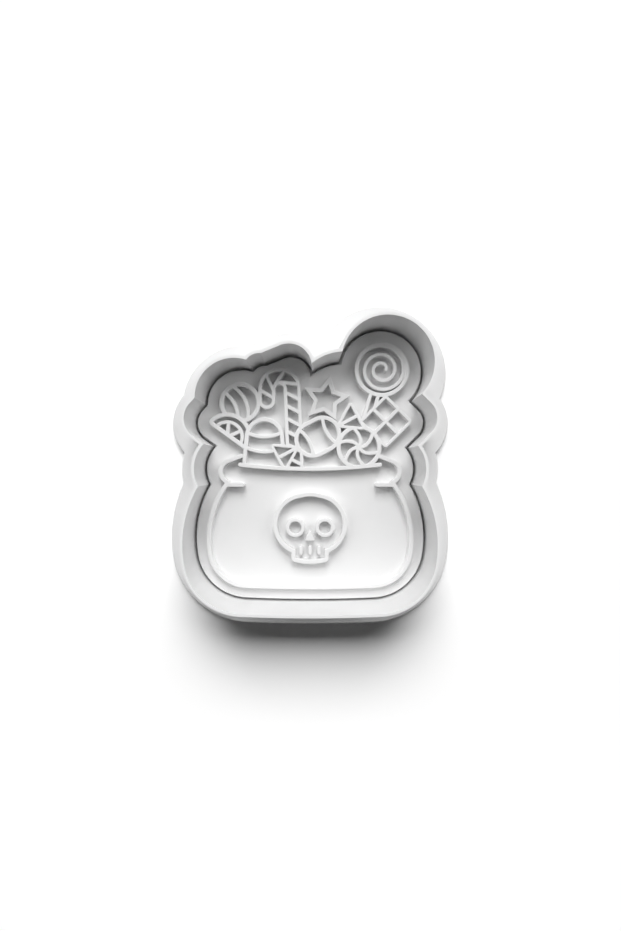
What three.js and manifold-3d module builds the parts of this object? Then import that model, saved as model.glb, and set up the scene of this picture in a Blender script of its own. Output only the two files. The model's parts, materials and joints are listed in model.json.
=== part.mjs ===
// Printed cookie cutter with its loose stamp: a pot heaped with sweets.
// Millimetres. +Z points out of the cutting edge, +Y to the top of the picture.
import * as THREE from 'three';
import { mergeVertices } from 'three/addons/utils/BufferGeometryUtils.js';
import Module from 'manifold-3d';

const wasm = await Module();
wasm.setup();

// Cutter: the wall's thicknesses and the flange's width are measured from the wall's inner face
const cutterHeight = 18;
const edgeThickness = 0.8;
const wallFootThickness = 1.6;
const wallFootFillet = 1.2;
const flangeWidth = 7.3;
const flangeThickness = 2;
const flangeChamfer = 0.4;
const boreDraft = 0.35;

// Stamp
const plateThickness = 4;
const plateChamfer = 0.3;
const reliefHeight = 2.8;
const reliefRoot = 0.5;
const sideClearance = 0.5;

// Picture lines; a figure's inner lines run a lap under the line round it
const border = 3.9;
const potBorder = 3.45;
const potLine = 1.2;
const sweetLine = 1.2;
const innerLine = 1;
const skullLine = 1.25;
const lap = 0.2;

// Pot: the sides swing out to the belly, then turn through round corners into a slightly bowed bottom
const bellyHalfWidth = 33.35;
const bellyY = -20.7;
const sideRadius = 30.95;
const cornerRadius = 15.3;
const cornerStart = -9.7;
const bottomBow = 0.4;
const shoulderAngle = 52;
const neckAngle = 35.5;
const hookLength = 4.7;
const mouthInset = 0.7;
const mouthY = 0.35;
const mouthSag = 1.2;
const earInset = 11.15;
const earY = -1.65;
const earRadius = 3.25;
const earTurn = 69;
const earTop = 4.1;
const earLobeInset = 12.75;
const earLobeY = -0.85;
const earLobe = 9.75;
const earLobeFoot = 4.4;

// Skull on the belly
const skull = { y: -16.6, cheekX: 1.75, cheekRadius: 8.8, crownRadius: 9.15 };
const jaw = { halfWidth: 5.35, corner: 1.3, chinY: -27.9, bow: 0.5 };
const socket = { x: 4.2, y: -17.55, radius: 2.7 };
const nose = { top: -18.9, bottom: -20.9, halfWidth: 0.9, corner: 0.4 };
const teeth = { count: 3, pitch: 2.57, top: -23.2, bottom: -24.8, width: 1 };

// Sweets
const lollipop = { x: 20.4, y: 27.35, radius: 7.8, pitch: 2.5, turns: 2.4 };
const stick = { footX: 11.6, footY: -3, width: 3.2 };
const ball = { x: -19.9, y: 18, radius: 5.85, bandTilt: 25, bands: [-1.6, 1.6], bandRadius: 9 };
const cane = { x: -8.7, y: 21.9, radius: 3.6, width: 4.9, hookY: 18.6, footX: -4.2, footY: -2 };
const stripe = { pitch: 3.7, lean: 60 };
const star = { x: 4.5, y: 19, radius: 6.8, waist: 0.52, points: 5, tilt: -10 };
const slice = { x: -23.6, y: 8.2, radius: 7, corner: 1.3, tilt: -36, rind: 2.7, segments: 3 };
const tablet = { x: 21.5, y: 12.6, reach: 6.4, corner: 0.95 };
const mint = { x: 13.9, y: 5.3, radius: 6.4, spokes: 6, hub: 1, sweep: 50 };
const drop = { x: -13, y: 8.2, radius: 5.6, footHalfWidth: 5.6, footY: -3, footCorner: 1, bands: [4, 8.3] };
const twist = { x: 2.2, y: 8.3, tilt: 28, radius: 5.3, stretch: 1.6 };
const fan = { knot: 7.3, length: 5, spread: 3.3, corner: 0.9 };

// Lobes of the outline that follow no single disc: offsets from a sweet's middle, with a radius
const caneLobes = [[3.1, 4, 6.1], [-2.4, 1.7, 6.1], [-4.6, 3.35, 4.25]];
const starLobe = [4.8, -3.3, 14.25];
const sliceLobe = [4.3, 5.1, 11.05];
const heapLobe = [-4, 10, 13];

const chordError = 0.04;
const leastRadius = 0.05;
const overrun = 1;
const degree = Math.PI / 180;
const printWhite = { color: 0xf0f0ef, roughness: 0.55, metalness: 0 };

// Flat outlines are closed chains of arcs, so that one number grows or shrinks them evenly
const point = (x, y) => new THREE.Vector2(x, y);
const arc = (x, y, r, from, to) => ({ x, y, r, from, to });
const disc = (x, y, r) => [arc(x, y, r, 0, 360)];

function spot(x, y, angle, reach) {
  return point(x + reach * Math.cos(angle * degree), y + reach * Math.sin(angle * degree));
}

function stepsFor(r, sweep) {
  const step = 2 * Math.acos(1 - chordError / Math.max(r, 2 * chordError)) / degree;
  return Math.max(1, Math.ceil(Math.abs(sweep) / step));
}

function arcPoints({ x, y, r, from, to }, grow = 0) {
  const steps = stepsFor(r, to - from);
  const reach = Math.max(r + grow, leastRadius);
  return Array.from({ length: steps + 1 }, (_, i) => spot(x, y, from + (to - from) * i / steps, reach));
}

function outline(chain, grow = 0) {
  const points = chain.flatMap((piece) => arcPoints(piece, grow));
  return points.filter((p, i) => p.distanceTo(points[(i + 1) % points.length]) > 1e-4);
}

// Band drawn tight round discs [x, y, r] that are given anticlockwise
function hull(...discs) {
  const normals = discs.map(([x, y, r], i) => {
    const [nextX, nextY, nextR] = discs[(i + 1) % discs.length];
    const length = Math.hypot(nextX - x, nextY - y);
    return (Math.atan2(nextY - y, nextX - x) - Math.acos((r - nextR) / length)) / degree;
  });
  return discs.map(([x, y, r], i) => {
    const from = normals[(i + discs.length - 1) % discs.length];
    const turn = (normals[i] - from) % 360;
    return arc(x, y, r, from, from + (turn < 0 ? turn + 360 : turn));
  });
}

// Closed outline of a line drawn with a round-ended pen
function penOutline(path, width) {
  const last = path.length - 1;
  const headings = path.map((p, i) => {
    const before = path[Math.max(i - 1, 0)];
    const after = path[Math.min(i + 1, last)];
    return Math.atan2(after.y - before.y, after.x - before.x) / degree;
  });
  const side = (turn) => path.map((p, i) => spot(p.x, p.y, headings[i] + turn, width / 2));
  const cap = (i, turn) => arc(path[i].x, path[i].y, width / 2, headings[i] + turn, headings[i] + turn + 180);
  return [
    ...side(-90).slice(0, -1),
    ...arcPoints(cap(last, -90)).slice(0, -1),
    ...side(90).reverse().slice(0, -1),
    ...arcPoints(cap(0, 90)).slice(0, -1),
  ];
}

// Solids
function solidFrom(geometry) {
  geometry.deleteAttribute('normal');
  geometry.deleteAttribute('uv');
  const merged = mergeVertices(geometry, 1e-5);
  const vertProperties = new Float32Array(merged.attributes.position.array);
  const triVerts = new Uint32Array(merged.index.array);
  return new wasm.Manifold(new wasm.Mesh({ numProp: 3, vertProperties, triVerts }));
}

const join = (solids) => solids.reduce((whole, solid) => whole.add(solid));

// Relief solid, rooted in the plate
function slab(points) {
  const depth = reliefRoot + reliefHeight;
  const geometry = new THREE.ExtrudeGeometry(new THREE.Shape(points), { depth, bevelEnabled: false });
  return solidFrom(geometry.translate(0, 0, plateThickness - reliefRoot));
}

// Convex solid through levels [grow, z], bottom first
function loft(chain, levels) {
  const rings = levels.map(([grow]) => outline(chain, grow));
  const count = rings[0].length;
  const top = (rings.length - 1) * count;
  const positions = rings.flatMap((ring, i) => ring.flatMap((p) => [p.x, p.y, levels[i][1]]));
  const index = [];
  for (let j = 0; j < count; j++) {
    const next = (j + 1) % count;
    for (let base = 0; base < top; base += count) {
      index.push(base + j, base + next, base + count + next);
      index.push(base + j, base + count + next, base + count + j);
    }
    if (j > 0 && next > 0) {
      index.push(0, next, j);
      index.push(top, top + j, top + next);
    }
  }
  const geometry = new THREE.BufferGeometry();
  geometry.setAttribute('position', new THREE.Float32BufferAttribute(positions, 3));
  geometry.setIndex(index);
  return solidFrom(geometry);
}

const pen = (path, width) => slab(penOutline(path, width));
const line = (width, ...points) => pen(points, width);
const arcLine = (width, ...piece) => pen(arcPoints(arc(...piece)), width);

// A face is a flat figure's whole area, as a function of how much it is grown
const roundFace = (...chains) => (grow) => join(chains.map((chain) => slab(outline(chain, grow))));

// A figure is the line along its face's edge, with inner lines that stop at that edge
function figure(face, width, innerLines = []) {
  const rim = face(0).subtract(face(-width));
  const inside = innerLines.map((solid) => solid.intersect(face(-lap)));
  return { face, ridges: join([rim, ...inside]) };
}

// Two round corners with a bowed bottom between them; each corner starts at an angle off the level
function bowedBase(cornerX, cornerY, radius, bow, start) {
  const depth = radius + bow;
  const bowRadius = (cornerX ** 2 + depth ** 2 - radius ** 2) / (2 * bow);
  const half = Math.asin(cornerX / (bowRadius - radius)) / degree;
  return [
    arc(-cornerX, cornerY, radius, 180 - start, 270 - half),
    arc(0, cornerY - depth + bowRadius, bowRadius, 270 - half, 270 + half),
    arc(cornerX, cornerY, radius, half - 90, start),
  ];
}

// Pot outline
const sideX = bellyHalfWidth - sideRadius;
const cornerSpot = spot(sideX, bellyY, cornerStart, sideRadius - cornerRadius);
const earX = bellyHalfWidth - earInset;
const earLobeX = bellyHalfWidth - earLobeInset;
const mouthHalfWidth = earLobeX - mouthInset;

function potChain(topAngle) {
  return [
    arc(-sideX, bellyY, sideRadius, 180 - topAngle, 180 - cornerStart),
    ...bowedBase(cornerSpot.x, cornerSpot.y, cornerRadius, bottomBow, cornerStart),
    arc(sideX, bellyY, sideRadius, cornerStart, topAngle),
  ];
}

// Jelly slice: half a disc with rounded corners, its straight edge along the tilt
const sliceReach = slice.radius - slice.corner;
const sliceLean = Math.asin(slice.corner / sliceReach) / degree;
const sliceTip = spot(slice.x, slice.y, slice.tilt + 180 - sliceLean, sliceReach);
const sliceHeel = spot(slice.x, slice.y, slice.tilt + sliceLean, sliceReach);

// Outline of the set: each lobe runs round one thing in the picture, at the border's width
const reach = border + sideClearance;
const beside = ({ x, y }, [dx, dy, r]) => [x + dx, y + dy, r];
const [caneRight, caneLeft, caneEnd] = caneLobes.map((lobe) => beside(cane, lobe));
const tabletTip = [tablet.x + tablet.reach, tablet.y, tablet.corner + reach];
const tabletRoot = [tablet.x, tablet.y, tablet.corner + reach + tablet.reach * Math.SQRT1_2];
const lobes = [
  potChain(shoulderAngle),
  disc(-earLobeX, earLobeY, earLobe),
  disc(earLobeX, earLobeY, earLobe),
  hull([sliceTip.x, sliceTip.y, slice.corner + reach], beside(slice, sliceLobe)),
  disc(ball.x, ball.y, ball.radius + reach),
  disc(...caneEnd),
  hull(caneLeft, caneRight),
  disc(...beside(star, starLobe)),
  disc(lollipop.x, lollipop.y, lollipop.radius + reach),
  hull(tabletRoot, tabletTip),
  hull(heapLobe, [-earLobeX, earLobeY, earLobeFoot], [earLobeX, earLobeY, earLobeFoot]),
];
const blank = (levels) => join(lobes.map((lobe) => loft(lobe, levels)));

// Cutter: flange and tapering wall in one; the inside widens a little towards the foot
const filletMiddle = wallFootFillet * (1 - Math.SQRT1_2);
const cutterBody = blank([
  [flangeWidth, 0],
  [flangeWidth, flangeThickness - flangeChamfer],
  [flangeWidth - flangeChamfer, flangeThickness],
  [wallFootThickness + wallFootFillet, flangeThickness],
  [wallFootThickness + filletMiddle, flangeThickness + filletMiddle],
  [wallFootThickness, flangeThickness + wallFootFillet],
  [edgeThickness, cutterHeight],
]);
const bore = blank([
  [boreDraft, -overrun],
  [boreDraft, 0],
  [0, cutterHeight],
  [0, cutterHeight + overrun],
]);
const cutter = cutterBody.subtract(bore);

// Stamp plate: the same outline, smaller by the clearance
const plate = blank([
  [-sideClearance - plateChamfer, 0],
  [-sideClearance, plateChamfer],
  [-sideClearance, plateThickness - plateChamfer],
  [-sideClearance - plateChamfer, plateThickness],
]);

// Sweets, each as a whole figure
function lollipopFigure() {
  const { x, y, radius, pitch, turns } = lollipop;
  const count = Math.ceil(turns * stepsFor(radius, 360));
  const swirl = Array.from({ length: count + 1 }, (_, i) => {
    const turn = turns * i / count;
    return spot(x, y, 360 * (turns - turn), radius - sweetLine / 2 - pitch * turn);
  });
  return figure(roundFace(disc(x, y, radius)), sweetLine, [pen(swirl, innerLine)]);
}

function stickFigure() {
  const ends = [[stick.footX, stick.footY], [lollipop.x, lollipop.y]];
  return figure(roundFace(hull(...ends.map(([x, y]) => [x, y, stick.width / 2]))), innerLine);
}

function ballFigure() {
  const { x, y, radius, bandTilt, bands, bandRadius } = ball;
  const curves = bands.map((offset) => {
    const centre = spot(x, y, bandTilt, offset - bandRadius);
    return arcLine(innerLine, centre.x, centre.y, bandRadius, bandTilt - 60, bandTilt + 60);
  });
  return figure(roundFace(disc(x, y, radius)), sweetLine, curves);
}

function caneFigure() {
  const { x, y, radius, width, hookY, footX, footY } = cane;
  const path = [point(x - radius, hookY), ...arcPoints(arc(x, y, radius, 180, 0)), point(footX, footY)];
  const route = new THREE.Path(path);
  const half = width / 2 / Math.sin(stripe.lean * degree);
  const stripes = Array.from({ length: Math.floor(route.getLength() / stripe.pitch) }, (_, i) => {
    const along = (i + 0.5) * stripe.pitch / route.getLength();
    const slant = route.getTangentAt(along).angle() / degree + stripe.lean;
    const { x: stripeX, y: stripeY } = route.getPointAt(along);
    return line(innerLine, spot(stripeX, stripeY, slant, half), spot(stripeX, stripeY, slant, -half));
  });
  return figure((grow) => pen(path, width + 2 * grow), innerLine, stripes);
}

function starFigure() {
  const { x, y, radius, waist, points, tilt } = star;
  const half = 180 / points;
  const inner = radius * waist;
  const flank = Math.hypot(radius - inner * Math.cos(half * degree), inner * Math.sin(half * degree));
  const flankReach = radius * inner * Math.sin(half * degree) / flank;
  const corner = (i) => spot(x, y, 90 + tilt + half * i, i % 2 ? inner : radius);
  const corners = Array.from({ length: 2 * points }, (_, i) => corner(i));
  const face = (grow) => {
    const scale = 1 + grow / flankReach;
    return slab(corners.map((p) => point(x + (p.x - x) * scale, y + (p.y - y) * scale)));
  };
  return figure(face, sweetLine);
}

function sliceFigure() {
  const { x, y, radius, corner, tilt, rind, segments } = slice;
  const chain = [
    arc(x, y, radius, tilt + sliceLean, tilt + 180 - sliceLean),
    arc(sliceTip.x, sliceTip.y, corner, tilt + 180 - sliceLean, tilt + 270),
    arc(sliceHeel.x, sliceHeel.y, corner, tilt - 90, tilt + sliceLean),
  ];
  const rindLine = arcLine(innerLine, x, y, radius - rind, tilt, tilt + 180);
  const spokes = Array.from({ length: segments - 1 }, (_, i) => {
    return line(innerLine, point(x, y), spot(x, y, tilt + 180 * (i + 1) / segments, radius - rind));
  });
  return figure(roundFace(chain), sweetLine, [rindLine, ...spokes]);
}

function tabletFigure() {
  const { x, y, reach: half, corner } = tablet;
  const corners = [0, 90, 180, 270].map((angle) => spot(x, y, angle, half));
  const grid = [45, 135].map((angle) => line(innerLine, spot(x, y, angle, -half), spot(x, y, angle, half)));
  return figure(roundFace(hull(...corners.map((p) => [p.x, p.y, corner]))), sweetLine, grid);
}

function mintFigure() {
  const { x, y, radius, spokes, hub, sweep } = mint;
  const blades = Array.from({ length: spokes }, (_, i) => {
    const from = 360 * i / spokes;
    const curve = new THREE.QuadraticBezierCurve(
      point(x, y),
      spot(x, y, from, radius / 2),
      spot(x, y, from + sweep, radius),
    );
    return pen(curve.getPoints(5), innerLine);
  });
  return figure(roundFace(disc(x, y, radius)), sweetLine, [...blades, slab(outline(disc(x, y, hub)))]);
}

function dropFigure() {
  const { x, y, radius, footHalfWidth, footY, footCorner, bands } = drop;
  const feet = [-1, 1].map((side) => [x + side * footHalfWidth, footY, footCorner]);
  const curves = bands.map((bandY) => arcLine(innerLine, x, bandY + 2 * radius, 2 * radius, 225, 315));
  return figure(roundFace(hull(...feet, [x, y, radius])), sweetLine, curves);
}

// Wrapped sweet: a round body between two pleated fans
function twistFigures() {
  const { x, y, tilt, radius, stretch } = twist;
  const fans = [tilt, tilt + 180].map((heading) => {
    const knot = spot(x, y, heading, fan.knot);
    const hem = spot(x, y, heading, fan.knot + fan.length);
    const tips = [-1, 1].map((side) => spot(hem.x, hem.y, heading + 90, side * fan.spread));
    const chain = hull(...[knot, ...tips].map((p) => [p.x, p.y, fan.corner]));
    return figure(roundFace(chain), innerLine, [line(innerLine, knot, hem)]);
  });
  const halves = [-stretch, stretch].map((along) => spot(x, y, tilt, along));
  const bands = [tilt, tilt + 180].map((heading) => {
    const centre = spot(x, y, heading, stretch + 2 * radius);
    return arcLine(innerLine, centre.x, centre.y, 2 * radius - sweetLine, heading + 150, heading + 210);
  });
  return [...fans, figure(roundFace(hull(...halves.map((p) => [p.x, p.y, radius]))), sweetLine, bands)];
}

// Pot lines, over everything that stands in the pot
function potFigure() {
  const belly = outline(potChain(neckAngle), -potBorder - sideClearance - potLine / 2);
  const necks = [belly[0], belly[belly.length - 1]];
  const mouthRadius = (mouthHalfWidth ** 2 + mouthSag ** 2) / (2 * mouthSag);
  const mouthHalf = Math.asin(mouthHalfWidth / mouthRadius) / degree;
  const mouthCentreY = mouthY - mouthSag + mouthRadius;
  const mouth = arcPoints(arc(0, mouthCentreY, mouthRadius, 270 + mouthHalf, 270 - mouthHalf));
  const face = () => slab([...necks, ...mouth]);
  const loops = necks.map((neck) => {
    const side = Math.sign(neck.x);
    const footAngle = Math.atan2(neck.y - earY, side * neck.x - earX) / degree;
    const turns = [footAngle, earTurn, earTurn + 90].map((angle) => (side > 0 ? angle : 180 - angle));
    const bend = arcPoints(arc(side * earX, earY, earRadius, turns[0], turns[1]));
    const bendEnd = bend[bend.length - 1];
    return pen([...bend, spot(bendEnd.x, bendEnd.y, turns[2], earTop)], potLine);
  });
  const hooks = necks.map((neck) => {
    return line(potLine, neck, point(neck.x - Math.sign(neck.x) * hookLength, neck.y));
  });
  return { face, ridges: join([pen(belly, potLine), pen(mouth, potLine), ...loops, ...hooks]) };
}

function skullFigure() {
  const { y, cheekX, cheekRadius, crownRadius } = skull;
  const head = hull([-cheekX, y, cheekRadius], [cheekX, y, cheekRadius], [0, y, crownRadius]);
  const jawX = jaw.halfWidth - jaw.corner;
  const jawChain = [
    ...bowedBase(jawX, jaw.chinY + jaw.bow + jaw.corner, jaw.corner, jaw.bow, 0),
    arc(jawX, y, jaw.corner, 0, 90),
    arc(-jawX, y, jaw.corner, 90, 180),
  ];
  const sockets = [-socket.x, socket.x].map((x) => {
    return figure(roundFace(disc(x, socket.y, socket.radius)), innerLine).ridges;
  });
  const noseDiscs = [[0, nose.top], [-nose.halfWidth, nose.bottom], [nose.halfWidth, nose.bottom]];
  const nosePeak = slab(outline(hull(...noseDiscs.map(([discX, discY]) => [discX, discY, nose.corner]))));
  const toothLines = Array.from({ length: teeth.count }, (_, i) => {
    const x = (i - (teeth.count - 1) / 2) * teeth.pitch;
    return line(teeth.width, point(x, teeth.top), point(x, teeth.bottom));
  });
  return figure(roundFace(head, jawChain), skullLine, [...sockets, nosePeak, ...toothLines]);
}

// Back to front: each figure hides what lies behind its face
const layers = [
  ballFigure(),
  caneFigure(),
  starFigure(),
  stickFigure(),
  tabletFigure(),
  lollipopFigure(),
  sliceFigure(),
  dropFigure(),
  mintFigure(),
  ...twistFigures(),
  potFigure(),
  skullFigure(),
];
const relief = layers.map(({ face, ridges }, i) => {
  return layers.slice(i + 1).reduce((shown, front) => shown.subtract(front.face(-lap)), ridges);
});
const stamp = join([plate, ...relief]);

function printedPiece(name, solid) {
  const { vertProperties, triVerts } = solid.getMesh();
  const geometry = new THREE.BufferGeometry();
  geometry.setAttribute('position', new THREE.BufferAttribute(new Float32Array(vertProperties), 3));
  geometry.setIndex(new THREE.BufferAttribute(new Uint32Array(triVerts), 1));
  geometry.computeVertexNormals();
  const mesh = new THREE.Mesh(geometry, new THREE.MeshStandardMaterial(printWhite));
  mesh.name = name;
  return mesh;
}

// The origin is under the middle of the flange
const set = new THREE.Group();
set.add(printedPiece('cutter', cutter), printedPiece('stamp', stamp));
const middle = new THREE.Box3().setFromObject(set).getCenter(new THREE.Vector3());
set.position.set(-middle.x, -middle.y, 0);

export default set;
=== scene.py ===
import json
import math

import bpy
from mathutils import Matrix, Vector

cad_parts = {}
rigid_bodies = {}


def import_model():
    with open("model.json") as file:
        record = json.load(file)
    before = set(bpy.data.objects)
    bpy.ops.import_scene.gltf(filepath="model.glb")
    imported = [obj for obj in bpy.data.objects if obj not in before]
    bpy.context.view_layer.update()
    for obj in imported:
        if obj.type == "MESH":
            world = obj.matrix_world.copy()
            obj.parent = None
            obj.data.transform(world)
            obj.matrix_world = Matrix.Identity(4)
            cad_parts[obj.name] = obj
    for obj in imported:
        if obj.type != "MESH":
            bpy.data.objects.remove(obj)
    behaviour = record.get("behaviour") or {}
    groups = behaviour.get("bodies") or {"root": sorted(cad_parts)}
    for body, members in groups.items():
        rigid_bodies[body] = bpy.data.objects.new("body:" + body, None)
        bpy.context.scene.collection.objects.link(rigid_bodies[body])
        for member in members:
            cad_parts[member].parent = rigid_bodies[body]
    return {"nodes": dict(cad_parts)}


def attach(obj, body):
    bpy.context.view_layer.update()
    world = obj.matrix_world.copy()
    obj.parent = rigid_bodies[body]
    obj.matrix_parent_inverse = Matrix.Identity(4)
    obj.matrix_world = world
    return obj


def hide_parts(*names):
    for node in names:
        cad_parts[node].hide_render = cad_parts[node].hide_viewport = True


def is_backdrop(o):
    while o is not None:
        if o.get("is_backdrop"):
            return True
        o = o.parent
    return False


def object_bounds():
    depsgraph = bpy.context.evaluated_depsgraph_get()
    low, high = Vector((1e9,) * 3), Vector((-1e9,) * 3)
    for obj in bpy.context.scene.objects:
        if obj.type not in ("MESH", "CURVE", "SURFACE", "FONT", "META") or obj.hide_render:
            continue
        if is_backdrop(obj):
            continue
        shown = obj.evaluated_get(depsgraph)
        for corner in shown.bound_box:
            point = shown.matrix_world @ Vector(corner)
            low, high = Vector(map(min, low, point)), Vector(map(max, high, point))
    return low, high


# Cookie cutter with its loose stamp, lying face up, seen from straight above
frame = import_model()
cadLow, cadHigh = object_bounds()
scene = bpy.context.scene
mm = 0.001
degree = math.pi / 180
print("frame:", ", ".join(sorted(frame["nodes"])))


# sRGB hex to linear
def hexColour(code):
    channels = [int(code[i:i + 2], 16) / 255 for i in (0, 2, 4)]
    linear = [c / 12.92 if c <= 0.04045 else ((c + 0.055) / 1.055) ** 2.4 for c in channels]
    return (*linear, 1.0)


# One node with its settings; a value that is a socket, or a list of them, is linked
def addNode(tree, kind, settings=None, inputs=None):
    node = tree.nodes.new(kind)
    for name, value in (settings or {}).items():
        setattr(node, name, value)
    for key, value in (inputs or {}).items():
        sources = value if isinstance(value, list) else [value]
        if isinstance(sources[0], bpy.types.NodeSocket):
            for source in sources:
                tree.links.new(source, node.inputs[key])
        else:
            node.inputs[key].default_value = value
    return node


# Camera: right over the middle, near enough to see the inside of every wall
cameraSetup = {"x": 0.12, "y": -0.12, "height": 146.9, "nearest": 10.0,
               "sensor": 36, "focalPixels": 493.6, "framePixels": 931}
cameraData = bpy.data.cameras.new("overheadCamera")
cameraData.sensor_width = cameraSetup["sensor"]
cameraData.lens = cameraSetup["sensor"] * cameraSetup["focalPixels"] / cameraSetup["framePixels"]
cameraData.clip_start = cameraSetup["nearest"] * mm
overheadCamera = bpy.data.objects.new("overheadCamera", cameraData)
overheadCamera.location = [cameraSetup[key] * mm for key in ("x", "y", "height")]
scene.collection.objects.link(overheadCamera)
scene.camera = overheadCamera
scene.view_settings.view_transform = "Standard"
print("camera: lens %.2f mm" % cameraData.lens)

# Light: a soft box beyond the top of the picture, large cards round the rest, and a weak even fill.
# The floor has a soft box of its own, so that its shadow stays deep and the cards can't wash it out
lightSetup = {
    "distance": 24.0, "fill": 0.016,
    "floor": "707070", "floorSeen": 1.87, "floorReach": 0.35, "floorDrop": 0.02,
}
lamps = {
    "softBox": {"turn": 0, "elevation": 44.5, "width": 11.2, "depth": 14.0, "power": 4400.0},
    "floorBox": {"turn": 0, "elevation": 42.0, "width": 20.0, "depth": 14.4, "power": 5260.0},
    "leftCard": {"turn": -64, "elevation": 38, "width": 14.0, "depth": 18.0, "power": 2200.0},
    "rightCard": {"turn": 64, "elevation": 38, "width": 14.0, "depth": 18.0, "power": 2200.0},
    "frontCard": {"turn": 180, "elevation": 20, "width": 8.8, "depth": 8.8, "power": 190.0},
}
litBy = {name: bpy.data.collections.new(name) for name in ("offFloor", "floorOnly")}
for name, setup in lamps.items():
    lamp = bpy.data.lights.new(name, "AREA")
    lamp.shape = "RECTANGLE"
    lamp.size = setup["width"]
    lamp.size_y = setup["depth"]
    lamp.energy = setup["power"]
    lampObject = bpy.data.objects.new(name, lamp)
    turn, tilt = setup["turn"] * degree, setup["elevation"] * degree
    level, height = math.cos(tilt) * lightSetup["distance"], math.sin(tilt) * lightSetup["distance"]
    lampObject.location = (math.sin(turn) * level, math.cos(turn) * level, height)
    lampObject.rotation_euler = (tilt - math.pi / 2, 0, -turn)
    reached = "floorOnly" if name == "floorBox" else "offFloor"
    lampObject.light_linking.receiver_collection = litBy[reached]
    scene.collection.objects.link(lampObject)


# 1 for what the eye sees, straight or in a gloss or a glass, and 0 for light on its way
def seenByEye(tree):
    rays = addNode(tree, "ShaderNodeLightPath").outputs
    glossOrEye = addNode(tree, "ShaderNodeMath", {"operation": "MAXIMUM"},
                         {0: rays["Is Camera Ray"], 1: rays["Is Glossy Ray"]})
    seen = addNode(tree, "ShaderNodeMath", {"operation": "MAXIMUM"},
                   {0: glossOrEye.outputs[0], 1: rays["Is Transmission Ray"]})
    return seen.outputs[0]


# Background: plain white to the eye, a weak fill to everything else
world = bpy.data.worlds.new("whiteRoom")
world.use_nodes = True
room = world.node_tree
room.nodes.clear()
strength = addNode(room, "ShaderNodeMapRange", None,
                   {"Value": seenByEye(room), "To Min": lightSetup["fill"], "To Max": 1.0})
whiteAir = addNode(room, "ShaderNodeBackground", None,
                   {"Color": hexColour("ffffff"), "Strength": strength.outputs[0]})
addNode(room, "ShaderNodeOutputWorld", None, {"Surface": whiteAir.outputs[0]})
scene.world = world

# Floor: matt card, white to the eye, that sends little light back up, or the pale walls would clip
floorMaterial = bpy.data.materials.new("whiteCard")
floorMaterial.use_nodes = True
card = floorMaterial.node_tree
card.nodes.clear()
seenWhite = (lightSetup["floorSeen"],) * 3 + (1.0,)
cardColour = addNode(card, "ShaderNodeMix", {"data_type": "RGBA"},
                     {0: seenByEye(card), 6: hexColour(lightSetup["floor"]), 7: seenWhite})
cardFace = addNode(card, "ShaderNodeBsdfDiffuse", None, {"Color": cardColour.outputs[2]})
addNode(card, "ShaderNodeOutputMaterial", None, {"Surface": cardFace.outputs[0]})
floorMesh = bpy.data.meshes.new("floor")
reach = lightSetup["floorReach"]
floorCorners = [(-reach, -reach, 0), (reach, -reach, 0), (reach, reach, 0), (-reach, reach, 0)]
floorMesh.from_pydata(floorCorners, [], [(0, 1, 2, 3)])
floorMesh.materials.append(floorMaterial)
floor = bpy.data.objects.new("floor", floorMesh)
floor.location.z = -lightSetup["floorDrop"] * mm
scene.collection.objects.link(floor)
for name, state in (("offFloor", "EXCLUDE"), ("floorOnly", "INCLUDE")):
    litBy[name].objects.link(floor)
    litBy[name].collection_objects[0].light_linking.link_state = state
floor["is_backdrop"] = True
print("stage: floor,", ", ".join(lamps), "and fill")

# White PLA, printed flat: rings of layers up the walls, some prouder than others, and slanting
# passes on the flat tops; a dull satin that lets a little light in, with hardly any change of
# colour. The face that lay on the bed is smoother. Layers are 0.2 mm in such a print; they are
# drawn at 0.4 mm to show in a near view
plaFinish = {
    "colour": "ececec", "cloudColour": "e8e8e8", "cloudSize": 9.0, "cloudsPerPatch": 3,
    "layerHeight": 0.4, "layerDepth": 0.012, "ringSize": 1.3, "ringDepth": 0.07,
    "passWidth": 0.42, "passDepth": 0.004, "grainSize": 0.25, "grainDepth": 0.002,
    "ior": 1.46, "roughLow": 0.48, "roughHigh": 0.62, "patchLow": 0.3, "patchHigh": 0.7,
    "bedRough": 0.3, "bedFacing": -0.95, "sideFacing": -0.6, "glow": 0.15, "glowDepth": 0.5,
}


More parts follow.
